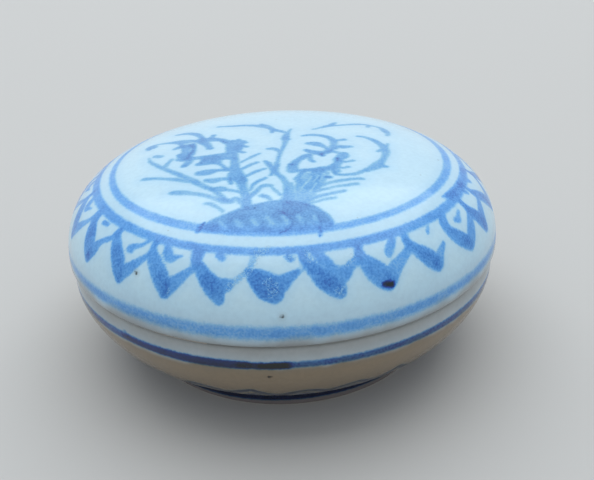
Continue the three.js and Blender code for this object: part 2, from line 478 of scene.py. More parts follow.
def through(points, step=0.14):
    """A Catmull-Rom line through the given points, as closely spaced dabs."""
    knots = np.array(points, float)
    if len(knots) == 1:
        return knots
    before = 2 * knots[0] - knots[1]
    after = 2 * knots[-1] - knots[-2]
    longer = np.vstack([before, knots, after])
    dabs = []
    for a, b, c, d in zip(longer, longer[1:], longer[2:], longer[3:]):
        count = max(2, math.ceil(np.hypot(*(c - b)[:2]) / step))
        t = np.linspace(0, 1, count, endpoint=False)[:, None]
        dabs.append(0.5 * (2 * b + (c - a) * t + (2 * a - 5 * b + 4 * c - d) * t ** 2
                           + (3 * b - a - 3 * c + d) * t ** 3))
    return np.vstack(dabs + [knots[-1:]])


class Brushwork:
    """Everything brushed on the outside of one thrown body, whose profile in (radius, height) is
    given. Its inside is out of the brush's reach."""

    def __init__(self, body, outside):
        self.mesh = body.data
        count = len(self.mesh.vertices)
        places = np.empty(count * 3)
        self.mesh.vertices.foreach_get("co", places)
        x, y, _ = places.reshape(-1, 3).T
        self.angle = np.arctan2(y, x)
        self.arc = np.empty(count)
        self.mesh.attributes["arc"].data.foreach_get("value", self.arc)
        self.profile_arc = np.append(0, np.cumsum(np.hypot(*np.diff(outside, axis=0).T)))
        self.profile = outside
        self.places = self.on_wall(self.angle, self.arc)
        self.places[self.arc > self.profile_arc[-1]] = OUT_OF_REACH
        self.gap = np.full(count, FAR)
        self.most = np.zeros(count)
        self.total = np.zeros(count)
        self.iron = np.full(count, FAR)
        self.blisters = np.full(count, FAR)

    def on_wall(self, angle, arc):
        """The point of the true, unslumped outside at an angle and a distance along the profile."""
        r = np.interp(arc, self.profile_arc, self.profile[:, 0])
        z = np.interp(arc, self.profile_arc, self.profile[:, 1])
        return np.column_stack([r * np.cos(angle), r * np.sin(angle), z])

    def seen_from_above(self, across, along):
        """Placing for strokes drawn in plan on the crown."""
        reach = np.hypot(across, along)
        arc = np.interp(reach, self.profile[:, 0], self.profile_arc)
        return self.on_wall(np.arctan2(along, across), arc)

    def around(self, middle_angle):
        """Placing for strokes drawn on the wall: across in mm from middle_angle, along the profile."""
        def place(across, along):
            r = np.interp(along, self.profile_arc, self.profile[:, 0])
            return self.on_wall(middle_angle + across / r, along)
        return place

    def arc_at(self, height):
        """How far along the profile its side, above its lowest point, is at a height."""
        lowest = np.flatnonzero(self.profile[:, 1] < self.profile[:, 1].min() + 0.001)[-1]
        return np.interp(height, self.profile[lowest:, 1], self.profile_arc[lowest:])

    def at_height(self, middle_angle):
        """Placing for strokes on an upright wall: across in mm from middle_angle, and height."""
        place = self.around(middle_angle)
        return lambda across, height: place(across, self.arc_at(height))

    def distance_to(self, points, place, spread=0.0):
        """The vertices near a stroke, and their distance outside its edge. The edge lies spread mm
        further out than the brush left it where the cobalt has crept in the glaze."""
        line = through(points)
        spots = place(line[:, 0], line[:, 1])
        low, high = spots.min(0) - NEARBY, spots.max(0) + NEARBY
        near = np.flatnonzero(((self.places > low) & (self.places < high)).all(1))
        best = np.full(len(near), FAR)
        for spot, half_width in zip(spots, line[:, 2] + spread):
            np.minimum(best, np.linalg.norm(self.places[near] - spot, axis=1) - half_width, out=best)
        return near, best

    def lay(self, near, distance, load, softness=1.0):
        """Leaves a load of cobalt within a stroke, running out over its edge by its softness."""
        self.gap[near] = np.minimum(self.gap[near], distance / softness)
        laid = load * smooth_step(distance, 0.25 * softness, -0.35 * softness)
        self.most[near] = np.maximum(self.most[near], laid)
        self.total[near] += laid

    def brush(self, points, place, load, softness=1.0, spread=0.0):
        near, distance = self.distance_to(points, place, spread)
        self.lay(near, distance, load, softness)

    def ring(self, arc, half_width, load, softness=1.0, wander=0.15, seed=0.0):
        """A line run round the turning body: it wanders a little and its width varies."""
        wavy = np.sin(2 * self.angle + seed) + 0.6 * np.sin(5 * self.angle + 2.3 * seed)
        middle = arc + wander * wavy
        width = half_width * (1 + 0.10 * np.sin(3 * self.angle + 1.7 * seed))
        outside = np.flatnonzero(self.arc <= self.profile_arc[-1])
        distance = (np.abs(self.arc - middle) - width)[outside]
        self.lay(outside, distance, load, softness)

    def lift(self, points, place, share):
        """Thins the cobalt already laid, as a drier brush or a bare spot does."""
        near, distance = self.distance_to(points, place)
        kept = 1 - share * smooth_step(distance, 0.2, -0.25)
        self.most[near] *= kept
        self.total[near] *= kept

    def iron_spot(self, points, place):
        near, distance = self.distance_to(points, place)
        self.iron[near] = np.minimum(self.iron[near], distance)

    def blister(self, points, place):
        near, distance = self.distance_to(points, place)
        self.blisters[near] = np.minimum(self.blisters[near], distance)

    def dimple(self, angle, arc, radius, depth):
        """A pinhole where gas came through the glaze: the surface dips towards the axis."""
        off = np.linalg.norm(self.places - self.on_wall(np.array([angle]), np.array([arc])), axis=1)
        for i in np.flatnonzero(off < 3 * radius):
            vertex = self.mesh.vertices[i]
            vertex.co -= vertex.normal * depth * MM * math.exp(-(off[i] / radius) ** 2)

    def store(self):
        """Keeps it all on the mesh. Where strokes overlap, the cobalt is darker than either, but far
        from twice as dark."""
        load = self.most + OVERLAP_SHARE * (self.total - self.most)
        for name, values in (("stroke_gap", self.gap), ("stroke_load", load), ("iron_gap", self.iron),
                             ("blister_gap", self.blisters)):
            kept = self.mesh.attributes.new(name, "FLOAT", "POINT")
            kept.data.foreach_set("value", values.astype(np.float32))


lid_brush = Brushwork(lid, lid_outside)
plan = lid_brush.seen_from_above

# The garden scene on the crown, drawn with the bowl's front towards -Y. First the trunk and the
# flower on the left, then the bare stem in the middle, the open flower on the right, the long
# curved branches, the blades of grass and last the mound that they all grow from.
LEFT_FLOWER = [
    [(-20.0, 10.3, 0.45), (-18.0, 10.1, 0.75), (-16.2, 8.8, 0.8), (-15.1, 7.0, 0.65), (-14.4, 5.0, 0.65)],
    [(-24.5, 3.6, 0.6), (-24.6, 5.1, 0.75), (-22.9, 5.8, 0.4), (-20.6, 5.3, 0.65), (-18.6, 4.9, 1.05),
     (-16.6, 4.7, 0.75), (-15.2, 3.8, 0.6)],
    [(-19.4, 4.6, 0.4), (-18.4, 3.4, 0.55), (-18.0, 2.2, 0.55)],
    [(-12.5, 6.9, 0.55), (-12.8, 5.6, 0.55), (-13.5, 4.5, 0.8)],
    [(-14.6, 4.7, 1.05), (-12.5, 4.6, 0.85), (-10.7, 3.3, 0.65), (-9.5, 1.6, 0.8)],
    [(-14.3, 3.6, 1.05), (-13.6, 2.0, 0.65), (-13.2, 0.6, 0.4), (-12.7, -0.6, 0.75)],
    [(-8.9, 2.0, 0.95), (-8.7, 0.0, 1.2), (-8.6, -2.0, 1.15), (-8.9, -3.8, 0.8)],
    [(-7.5, 3.2, 0.6), (-7.4, 1.5, 0.95), (-7.3, -0.6, 0.95), (-7.4, -2.4, 0.65)],
    [(-6.5, 2.2, 0.55), (-6.3, 1.4, 0.6)],
    [(-6.6, -0.4, 0.55), (-5.9, -0.9, 0.45)],
    [(-7.2, -3.2, 0.6), (-6.5, -3.8, 0.55)],
    [(-18.7, 1.7, 0.65), (-17.3, 1.6, 0.95), (-16.2, 0.8, 0.8)],
    [(-17.9, -2.6, 0.75), (-17.1, -3.8, 1.05), (-15.9, -4.9, 0.95)],
    [(-17.9, -4.8, 0.65), (-17.0, -5.4, 0.65)],
    [(-16.5, -4.9, 0.8), (-14.8, -5.0, 0.8), (-13.0, -4.8, 0.8), (-11.2, -4.5, 0.85), (-9.8, -4.1, 0.8)],
    [(-12.9, -6.0, 1.15), (-12.4, -7.0, 1.2), (-14.0, -8.0, 0.75)],
    [(-10.8, -6.0, 1.15), (-9.3, -6.1, 0.75), (-8.4, -6.6, 0.65)],
    [(-15.6, -6.1, 0.45), (-16.0, -7.3, 0.55), (-16.6, -8.1, 0.65)],
    [(-12.4, -7.8, 0.65), (-10.8, -8.3, 0.55), (-9.8, -9.8, 0.45), (-9.0, -11.4, 0.6)],
]
LEFT_FLOWER_WASH = [
    [(-16.1, 2.6, 0.7), (-15.7, 0.0, 0.6), (-15.9, -2.5, 0.8), (-16.4, -5.0, 0.8)],
    [(-19.2, 1.1, 0.6), (-17.6, 1.9, 0.9), (-16.2, 2.4, 0.9)],
    [(-17.9, -2.4, 0.6), (-17.2, -4.2, 1.0), (-16.2, -5.0, 0.9)],
    [(-15.2, 4.4, 1.0), (-13.2, 4.4, 1.3), (-11.2, 3.9, 0.9), (-9.6, 2.6, 0.9)],
    [(-14.2, 3.2, 1.1), (-13.3, 1.4, 0.8), (-12.7, -0.4, 0.6)],
    [(-8.6, 2.2, 1.2), (-8.1, 0.0, 1.5), (-8.2, -2.2, 1.4), (-8.7, -4.2, 1.1)],
    [(-13.2, -5.6, 1.0), (-12.4, -7.2, 1.3), (-13.7, -8.1, 0.7)],
    [(-11.6, -5.4, 1.0), (-11.2, -7.0, 1.1), (-10.6, -8.0, 0.7)],
    [(-10.0, -5.2, 0.8), (-8.6, -5.9, 0.9)],
    [(-16.1, -5.8, 0.6), (-16.5, -7.9, 0.7)],
    [(-19.4, 4.9, 0.9), (-17.8, 4.2, 1.0), (-16.4, 4.4, 0.8)],
    [(-17.6, 2.2, 0.8), (-17.2, 0.4, 0.9), (-17.0, -1.6, 0.9), (-17.4, -3.6, 1.1)],
    [(-23.8, 4.4, 0.9), (-24.2, 5.2, 0.9)],
]
LEFT_FLOWER_DARK = [
    [(-16.3, 2.2, 0.65), (-15.7, 0.5, 0.55), (-15.7, -1.2, 0.45), (-16.2, -3.0, 0.6), (-16.4, -4.4, 0.65)],
    [(-10.6, 3.0, 0.4), (-9.9, 2.0, 0.45)],
    [(-13.8, -7.7, 0.55), (-13.2, -6.2, 0.55)],
]
TRUNK = [
    [(-7.9, -4.5, 0.6), (-7.9, -7.0, 0.75), (-7.8, -9.5, 0.85), (-7.6, -12.0, 1.05), (-7.1, -14.5, 1.2),
     (-6.5, -16.5, 1.0), (-6.1, -19.0, 0.75), (-5.6, -21.5, 0.8), (-5.5, -24.0, 0.95)],
    [(-8.4, -13.0, 0.45), (-8.3, -15.2, 0.55), (-8.1, -17.0, 0.35)],
    [(-7.2, -11.5, 0.55), (-6.5, -14.0, 0.65), (-5.9, -16.5, 0.55)],
]
FRONDS = [
    [(-13.5, -11.9, 1.0), (-12.2, -11.8, 1.15), (-10.8, -11.4, 0.65), (-9.2, -11.6, 0.55),
     (-8.2, -12.0, 0.55)],
    [(-12.2, -14.9, 0.6), (-11.0, -15.3, 0.95), (-9.6, -15.0, 0.6), (-8.0, -15.2, 0.6)],
    [(-10.7, -18.3, 0.75), (-9.7, -18.5, 0.85), (-8.5, -19.0, 0.45), (-7.0, -19.7, 0.4), (-6.2, -20.6, 0.45)],
    [(-3.6, -4.7, 0.3), (-4.8, -6.1, 0.45), (-6.0, -7.6, 0.35), (-7.1, -9.0, 0.35)],
    [(-4.0, -9.1, 0.5), (-5.2, -10.1, 0.5), (-6.5, -11.5, 0.45)],
    [(-2.6, -12.0, 0.45), (-4.0, -12.9, 0.5), (-5.4, -14.3, 0.45), (-6.2, -15.3, 0.4)],
    [(-2.5, -15.7, 0.4), (-3.6, -16.7, 0.5), (-4.5, -18.0, 0.4), (-4.9, -19.6, 0.35)],
    [(-1.6, -18.6, 0.45), (-2.5, -18.4, 0.6), (-3.3, -18.9, 0.5), (-3.9, -20.0, 0.5), (-4.8, -21.4, 0.55)],
    [(-1.4, -19.2, 0.3), (-0.8, -20.4, 0.3), (-0.2, -21.6, 0.35)],
    [(-3.0, -21.6, 0.6), (-2.3, -22.0, 0.5), (-1.7, -22.9, 0.4)],
    [(-9.0, -21.9, 0.6), (-8.1, -22.4, 0.75), (-7.0, -21.9, 0.6), (-6.5, -23.0, 0.45)],
]
MIDDLE_STEM = [
    [(2.4, 8.3, 0.3), (2.0, 6.9, 0.35), (1.5, 5.0, 0.65), (1.2, 3.0, 0.85), (1.2, 1.2, 0.6),
     (0.9, -1.0, 0.45), (0.5, -3.0, 0.45), (0.1, -5.0, 0.45), (-0.3, -8.0, 0.4), (-0.6, -10.5, 0.6),
     (-0.9, -13.0, 0.65), (-0.5, -14.5, 0.6), (0.3, -16.0, 0.6), (0.9, -18.5, 0.65), (0.8, -21.0, 0.65),
     (0.6, -23.5, 0.8)],
    [(-12.0, 12.6, 0.4), (-9.0, 12.3, 0.55), (-6.5, 12.2, 0.6), (-4.5, 11.6, 0.75), (-3.0, 11.0, 1.15),
     (-1.7, 9.6, 0.75), (-0.8, 8.1, 0.75), (0.4, 7.2, 0.65), (1.3, 6.3, 0.55)],
    [(-3.3, 12.4, 0.4), (-2.9, 11.4, 0.55)],
    [(-1.3, 6.7, 0.4), (-1.1, 7.9, 0.55)],
    [(-1.9, -2.5, 0.55), (-1.0, -2.7, 0.75), (-0.2, -3.6, 0.6), (0.2, -4.8, 0.4)],
    [(-2.5, -8.6, 0.4), (-1.9, -10.0, 0.65), (-1.5, -11.6, 0.55), (-1.3, -13.2, 0.45), (-1.6, -14.8, 0.35)],
    [(1.9, 2.3, 0.45), (1.2, 3.4, 0.4)],
]
RIGHT_FLOWER = [
    [(4.6, 4.0, 0.45), (6.0, 4.3, 0.65), (7.8, 3.8, 0.7), (9.3, 2.5, 0.7), (10.0, 0.6, 0.75),
     (9.9, -1.5, 0.75), (9.4, -3.5, 0.65), (8.9, -5.2, 0.6)],
    [(12.0, 1.1, 0.6), (10.8, 0.8, 0.6)],
    [(12.8, -2.7, 0.55), (11.6, -2.8, 0.85), (10.4, -2.6, 0.75), (10.0, -3.6, 0.55)],
    [(5.6, -0.4, 0.6), (6.6, -0.7, 1.05), (7.5, -1.6, 0.75), (8.3, -3.0, 0.55), (8.9, -4.3, 0.55)],
    [(4.8, -3.9, 0.6), (5.6, -4.9, 0.8), (6.9, -5.8, 0.95), (7.5, -6.8, 0.6)],
    [(7.3, -5.8, 0.65), (8.4, -5.4, 0.6)],
    [(5.1, -6.5, 0.85), (4.2, -7.2, 0.75), (3.2, -8.6, 0.65), (2.4, -10.2, 0.75), (2.1, -11.8, 1.0),
     (2.1, -13.3, 1.05)],
    [(5.2, -7.2, 0.55), (5.3, -8.8, 0.5), (5.7, -9.6, 0.55)],
    [(3.6, -13.4, 0.75), (5.2, -13.1, 0.65), (6.8, -12.7, 0.8), (8.2, -12.4, 0.8), (9.2, -11.4, 0.75),
     (9.8, -10.0, 0.65), (9.9, -8.8, 0.65)],
    [(11.3, -6.2, 0.8), (11.0, -7.4, 1.15), (10.2, -8.6, 0.8)],
    [(12.6, -9.4, 0.4), (11.5, -9.9, 0.45), (10.3, -9.7, 0.5)],
    [(11.5, -12.1, 0.4), (10.5, -12.5, 0.4), (9.5, -12.3, 0.5)],
    [(3.8, -13.6, 0.75), (3.3, -15.2, 0.55), (2.6, -16.6, 0.6)],
    [(5.6, -13.8, 0.65), (5.3, -15.5, 0.6), (5.6, -17.2, 0.55)],
    [(7.1, -13.5, 0.65), (6.4, -15.2, 0.55), (6.2, -16.8, 0.45)],
    [(8.9, -12.8, 0.6), (9.0, -14.3, 0.55), (9.4, -15.0, 0.45)],
]
RIGHT_FLOWER_WASH = [
    [(5.4, -0.5, 0.7), (6.5, -0.9, 1.05), (7.6, -1.9, 0.7)],
    [(5.0, -4.2, 0.7), (6.2, -5.2, 0.9), (7.6, -5.6, 1.0), (8.7, -5.0, 0.8)],
    [(8.6, -4.6, 0.8), (9.3, -3.2, 0.7)],
    [(4.7, -6.7, 0.9), (3.0, -8.9, 0.8), (2.1, -11.4, 1.0), (2.0, -13.2, 1.1)],
    [(11.2, -6.2, 0.7), (10.8, -7.5, 1.1), (9.9, -9.2, 0.9)],
    [(9.0, -4.7, 0.6), (10.1, -5.5, 0.6), (11.0, -6.3, 0.7)],
    [(10.0, -10.0, 0.9), (9.4, -11.8, 0.8), (9.6, -13.8, 0.6)],
    [(4.4, -13.4, 0.7), (6.4, -13.2, 0.9), (8.4, -13.0, 0.8)],
    [(6.4, -13.8, 1.0), (6.0, -15.6, 0.9), (5.4, -17.6, 0.8)],
    [(3.6, -14.2, 0.6), (3.0, -16.0, 0.6), (2.8, -17.6, 0.6)],
]
RIGHT_FLOWER_DARK = [
    [(1.9, -10.6, 0.55), (2.4, -10.9, 0.45)],
    [(7.2, -6.0, 0.45), (7.4, -6.9, 0.45)],
    [(10.0, -8.2, 0.4), (9.9, -9.2, 0.4)],
    [(7.2, -16.0, 0.4), (8.1, -16.1, 0.45)],
]
BRANCHES = [
    [(14.9, 3.0, 0.45), (16.0, 2.6, 0.55), (17.3, 1.2, 0.65), (18.3, -0.7, 0.75), (18.9, -2.8, 0.85),
     (18.9, -4.8, 0.85), (18.5, -7.0, 0.65), (17.6, -9.2, 0.65), (16.6, -10.9, 1.0), (15.2, -12.4, 0.65),
     (13.6, -13.9, 0.55), (12.2, -14.9, 0.55), (10.6, -15.2, 0.45), (9.2, -15.1, 0.45)],
    [(19.9, -0.8, 0.3), (19.4, -2.4, 0.45)],
    [(17.5, -5.0, 0.35), (18.3, -4.2, 0.6)],
    [(17.9, -11.5, 0.55), (16.9, -11.4, 0.8), (15.9, -12.6, 0.55), (14.4, -13.6, 0.5)],
    [(6.8, 7.8, 0.35), (8.2, 8.6, 0.45), (9.6, 9.6, 0.65), (11.0, 9.9, 0.5), (13.0, 10.4, 0.5),
     (15.0, 11.0, 0.55), (17.0, 11.1, 0.5), (18.8, 10.3, 0.45), (20.1, 9.2, 0.55), (20.6, 7.4, 0.8),
     (20.9, 5.6, 0.55), (20.6, 4.2, 0.4)],
    [(11.4, 12.1, 0.35), (10.8, 10.9, 0.65), (10.0, 9.9, 0.55)],
    [(17.9, 10.6, 0.55), (17.6, 9.4, 0.45)],
    [(-23.8, -1.5, 0.2), (-23.2, -3.6, 0.4), (-21.8, -5.9, 0.5), (-20.0, -8.2, 0.55), (-18.0, -10.5, 0.6),
     (-16.0, -12.8, 0.65), (-14.3, -14.8, 0.75), (-12.5, -17.0, 0.6), (-10.8, -18.6, 0.6),
     (-9.6, -20.6, 0.55), (-8.8, -22.0, 0.6)],
    [(-19.2, -4.3, 0.45), (-19.7, -5.6, 0.45), (-20.1, -7.2, 0.65)],
    [(-22.6, -1.2, 0.65), (-21.6, -1.9, 0.65)],
]
GRASS = [
    [(-23.3, -10.7, 0.55), (-21.5, -11.3, 0.5), (-19.5, -12.2, 0.5), (-17.5, -13.2, 0.6),
     (-15.8, -14.2, 0.6), (-14.3, -15.1, 0.45)],
    [(-17.8, -17.5, 0.55), (-16.2, -18.0, 0.75), (-14.2, -18.8, 0.55), (-12.2, -19.9, 0.5),
     (-10.4, -21.2, 0.55), (-9.0, -22.3, 0.6)],
    [(-11.9, -22.2, 0.4), (-11.0, -22.6, 0.45), (-9.9, -23.8, 0.35), (-9.1, -24.8, 0.35)],
    [(13.3, -16.5, 0.5), (11.8, -16.7, 0.45), (9.8, -17.3, 0.5), (8.0, -18.0, 0.5), (6.4, -18.9, 0.6),
     (5.0, -19.8, 0.6)],
    [(12.3, -18.3, 0.45), (10.6, -18.8, 0.45), (8.6, -19.4, 0.35), (6.8, -20.2, 0.45), (5.2, -21.0, 0.45)],
    [(10.0, -20.6, 0.45), (8.2, -21.3, 0.45), (6.4, -22.0, 0.5), (4.8, -22.8, 0.55)],
    [(8.4, -22.6, 0.35), (7.0, -23.0, 0.35), (5.4, -23.7, 0.35), (4.0, -24.3, 0.35)],
]
GRASS_FOOT = [
    [(4.5, -15.0, 0.7), (4.1, -17.2, 1.2), (3.4, -19.6, 1.5)],
    [(7.6, -14.6, 0.6), (6.8, -17.0, 0.7), (5.6, -19.6, 0.8)],
    [(3.2, -17.0, 0.45), (3.4, -19.0, 0.8), (3.2, -21.0, 1.2), (2.6, -23.5, 1.8), (2.0, -25.0, 2.0)],
    [(5.8, -14.6, 1.0), (5.4, -17.0, 1.1), (4.8, -19.5, 1.2), (4.0, -22.5, 1.4)],
    [(1.6, -18.2, 0.5), (1.4, -20.5, 0.8), (1.0, -22.8, 1.2)],
]
MOUND = [
    [(-11.6, -27.7, 0.8), (-8.6, -26.7, 1.3), (-4.6, -25.6, 1.7), (-0.5, -24.9, 1.9), (3.2, -25.6, 1.8),
     (5.7, -27.2, 1.3), (6.9, -28.5, 0.9)],
    [(-10.4, -28.3, 0.9), (-6.4, -28.2, 1.9), (-1.4, -28.2, 2.3), (3.6, -28.4, 2.0), (6.4, -29.0, 1.1)],
]
MOUND_DARK = [
    [(-12.8, -28.3, 0.35), (-12.4, -27.5, 0.5), (-11.9, -26.9, 0.45)],
    [(-2.0, -25.0, 0.2), (-0.2, -25.9, 0.28), (0.9, -27.1, 0.28), (1.4, -28.5, 0.3), (0.9, -29.7, 0.3),
     (-0.4, -30.4, 0.3)],
    [(-5.8, -24.0, 0.2), (-5.0, -25.2, 0.25)],
    [(3.1, -28.0, 0.28), (3.7, -29.4, 0.3)],
    [(5.3, -27.2, 0.28), (5.6, -29.0, 0.35), (5.4, -31.0, 0.35)],
    [(-3.1, -27.4, 0.22), (-2.9, -29.4, 0.26)],
]
CROWN_LOADS = [
    (LEFT_FLOWER, 0.52), (LEFT_FLOWER_WASH, 0.48), (LEFT_FLOWER_DARK, 0.68), (TRUNK, 0.56), (FRONDS, 0.50),
    (MIDDLE_STEM, 0.50), (RIGHT_FLOWER, 0.50), (RIGHT_FLOWER_WASH, 0.42), (RIGHT_FLOWER_DARK, 0.74),
    (BRANCHES, 0.48), (GRASS, 0.44), (GRASS_FOOT, 0.42), (MOUND, 0.64)]
for strokes, load in CROWN_LOADS:
    for stroke in strokes:
        lid_brush.brush(stroke, plan, load, softness=1.6, spread=0.13)

# Bare streaks between the blades at the foot of the grass, and on the mound a row of slanting
# ovals left pale in the wash, with a few dark marks over it.
GRASS_STREAKS = [(4.0, -18.4), (5.2, -18.0), (6.3, -17.4), (3.0, -20.4), (4.6, -20.8)]
MOUND_OVALS = 7
FIRST_OVAL = -9.0
OVAL_SPACING = 2.35
for across, along in GRASS_STREAKS:
    lid_brush.lift([(across, along, 0.12), (across + 1.1, along + 2.6, 0.18)], plan, share=0.55)
for number in range(MOUND_OVALS):
    across = FIRST_OVAL + OVAL_SPACING * number
    lid_brush.lift([(across - 0.35, -27.1, 0.36), (across + 0.35, -28.6, 0.40)], plan, share=0.42)
for stroke in MOUND_DARK:
    lid_brush.brush(stroke, plan, load=0.88)

# Two lines round the crown, each at its distance from the middle along the profile. The outer one
# carries the border. Its start at the right lies a little further in and is darker.
INNER_LINE = 30.7
OUTER_LINE = 34.1
LINE_START = [(0.0, 32.6, 0.3), (2.5, 32.9, 0.5), (6.0, 33.3, 0.65), (11.0, 33.8, 0.8), (16.0, 34.0, 0.8)]
LINE_START_DARK = [(0.6, 33.0, 0.5), (2.2, 33.4, 0.9), (5.0, 33.8, 1.0), (8.5, 34.1, 0.9)]
lid_brush.ring(INNER_LINE, half_width=0.85, load=0.52, softness=1.3, wander=0.10, seed=0.8)
lid_brush.ring(OUTER_LINE, half_width=0.88, load=0.60, softness=1.3, wander=0.08, seed=2.1)
at_right = lid_brush.around(math.radians(-35))
lid_brush.brush(LINE_START, at_right, load=0.60)
lid_brush.brush(LINE_START_DARK, at_right, load=0.72, softness=1.6)

# The border: pendants hung from the outer line. Each is a heavy stroke down to the point and a
# lighter one back up, with cobalt pooled in the point and a drop in the bare leaf between them. The
# hand varied: some came back to the line, some stopped short, and some filled in.
PENDANTS = 27
BACK_SHARE = 0.92
POOL_SHARE = 1.06
DROP_SHARE = 0.88
PENDANT_SHAPES = {
    "whole": (
        [(-4.2, 34.9, 0.45), (-4.1, 36.1, 0.6), (-3.5, 37.2, 0.95), (-2.4, 38.4, 1.2), (-1.15, 39.8, 1.35),
         (-0.3, 41.1, 1.1), (0.0, 41.9, 0.75)],
        [(0.2, 41.6, 0.8), (1.0, 40.4, 1.0), (2.0, 39.3, 0.85), (3.0, 38.2, 0.6), (3.8, 37.2, 0.5),
         (4.1, 36.1, 0.45), (4.1, 34.9, 0.45)]),
    "short": (
        [(-3.7, 35.4, 0.6), (-3.5, 37.0, 0.9), (-2.5, 38.2, 1.3), (-1.4, 39.5, 1.5), (-0.4, 40.9, 1.2),
         (0.0, 41.8, 0.75)],
        [(0.4, 41.2, 0.9), (1.0, 39.9, 1.1), (1.7, 38.6, 0.6), (2.6, 37.7, 0.5), (3.6, 36.9, 0.5),
         (3.9, 35.4, 0.5)]),
    "broken": (
        [(-4.5, 35.0, 0.55), (-4.3, 36.2, 0.7), (-3.3, 37.4, 0.85), (-2.0, 38.8, 1.15), (-0.8, 39.9, 1.4),
         (-0.1, 41.0, 1.0), (0.1, 41.6, 0.65)],
        [(-0.4, 39.5, 0.95), (0.9, 39.4, 0.95), (1.5, 39.2, 0.6)]),
    "blob": (
        [(-3.5, 37.3, 0.6), (-2.2, 38.3, 1.35), (-0.8, 39.4, 1.9), (0.1, 40.3, 1.35), (0.1, 41.0, 0.75)],
        [(-0.4, 39.2, 1.3), (1.1, 39.0, 1.2), (2.0, 38.3, 0.8), (2.9, 37.8, 0.6), (3.6, 37.3, 0.35)]),
    "filled": (
        [(-4.3, 35.0, 0.6), (-3.8, 36.3, 0.8), (-2.9, 37.6, 1.05), (-1.8, 39.0, 1.4), (-0.7, 40.1, 1.3),
         (0.1, 41.1, 0.8)],
        [(0.2, 40.5, 0.9), (-0.6, 38.3, 1.35), (0.9, 38.6, 1.1), (1.8, 37.9, 0.8), (2.9, 37.1, 0.6),
         (3.8, 36.3, 0.55), (4.3, 35.0, 0.5)]),
    "steep": (
        [(-2.8, 35.0, 0.5), (-2.9, 36.6, 0.9), (-2.2, 38.0, 1.3), (-1.2, 39.4, 1.7), (-0.4, 40.6, 1.4),
         (0.0, 41.4, 0.9)],
        [(0.6, 41.0, 0.9), (1.2, 39.8, 1.15), (2.6, 38.8, 0.9), (4.0, 38.0, 0.7), (5.2, 37.1, 0.6),
         (5.5, 35.2, 0.5)]),
    "free": (
        [(-3.4, 35.2, 0.5), (-3.3, 36.6, 0.75), (-2.6, 37.9, 1.0), (-1.5, 39.2, 1.35), (-0.6, 40.4, 1.35),
         (-0.1, 41.4, 0.85)],
        [(0.3, 41.2, 0.9), (0.9, 40.4, 0.8), (1.6, 39.6, 0.6), (2.4, 39.1, 0.45), (3.0, 38.7, 0.3)]),
    "round": (
        [(-1.9, 34.9, 0.6), (-3.0, 36.2, 0.9), (-3.1, 37.8, 1.05), (-2.2, 39.2, 1.3), (-1.0, 40.4, 1.3),
         (-0.1, 41.4, 1.0)],
        [(0.3, 41.3, 1.0), (1.2, 40.5, 1.1), (2.4, 39.5, 1.0), (3.6, 38.4, 0.75), (4.6, 37.4, 0.6),
         (5.0, 35.6, 0.6)]),
    "narrow": (
        [(-1.9, 35.2, 0.6), (-1.9, 36.9, 0.8), (-1.4, 38.4, 1.2), (-0.6, 39.8, 1.4), (-0.1, 41.3, 1.1)],
        [(0.3, 40.6, 1.1), (1.2, 39.6, 1.0), (2.4, 38.8, 0.8), (3.4, 38.2, 0.6), (4.2, 37.7, 0.35)]),
}
DROPS = {
    "heavy": [(-1.9, 34.9, 0.6), (-1.3, 35.9, 0.95), (-0.5, 36.7, 0.8), (0.5, 36.2, 0.45), (1.2, 35.9, 0.3)],
    "hooked": [(2.5, 35.0, 0.5), (1.7, 35.9, 0.5), (0.8, 36.4, 0.6), (-0.1, 37.0, 0.75), (0.5, 37.3, 0.5)],
    "slanted": [(3.1, 35.1, 0.65), (2.3, 36.0, 0.85), (1.6, 36.8, 0.8), (1.5, 37.3, 0.5)],
    "eye": [(-0.2, 36.8, 0.55), (0.6, 37.0, 0.75), (1.5, 36.4, 0.5), (2.4, 36.0, 0.35)],
    "small": [(-0.9, 34.9, 0.7), (-0.3, 35.4, 0.65)],
    "far": [(2.0, 35.0, 0.6), (2.5, 35.4, 0.6)],
    "tick": [(1.9, 35.4, 0.35), (1.4, 35.8, 0.45), (1.0, 36.2, 0.35)],
    "oval": [(-1.0, 35.6, 0.55), (0.5, 35.5, 0.5)],
    "joined": [(-2.5, 34.9, 0.7), (-1.7, 35.7, 1.0), (-0.9, 36.6, 0.9), (-0.6, 37.2, 0.7)],
}
# (turn in degrees, shape, drop, load) of the pendants at the front. The rest follow round the back
# at nearly even steps.
FRONT_PENDANTS = [
    (-160.0, "whole", "heavy", 0.60), (-145.2, "short", "oval", 0.64), (-131.0, "whole", "hooked", 0.62),
    (-117.4, "whole", "heavy", 0.62), (-104.6, "broken", "small", 0.64), (-92.6, "blob", "far", 0.69),
    (-78.4, "filled", "joined", 0.64), (-66.9, "steep", "slanted", 0.60), (-52.6, "free", "tick", 0.60),
    (-38.8, "round", "eye", 0.60), (-27.6, "narrow", "far", 0.64)]
hand = random.Random(11)
pendants = list(FRONT_PENDANTS)
at_back = PENDANTS - len(FRONT_PENDANTS)
step = (360 + FRONT_PENDANTS[0][0] - FRONT_PENDANTS[-1][0]) / (at_back + 1)
for number in range(at_back):
    turn = FRONT_PENDANTS[-1][0] + (number + 1) * step + hand.uniform(-0.8, 0.8)
    shape = hand.choice(("whole", "whole", "short", "filled", "whole", "free"))
    drop = hand.choice(("heavy", "hooked", "eye", "small", "oval", "tick"))
    pendants.append((turn, shape, "joined" if shape == "filled" else drop, hand.uniform(0.58, 0.68)))
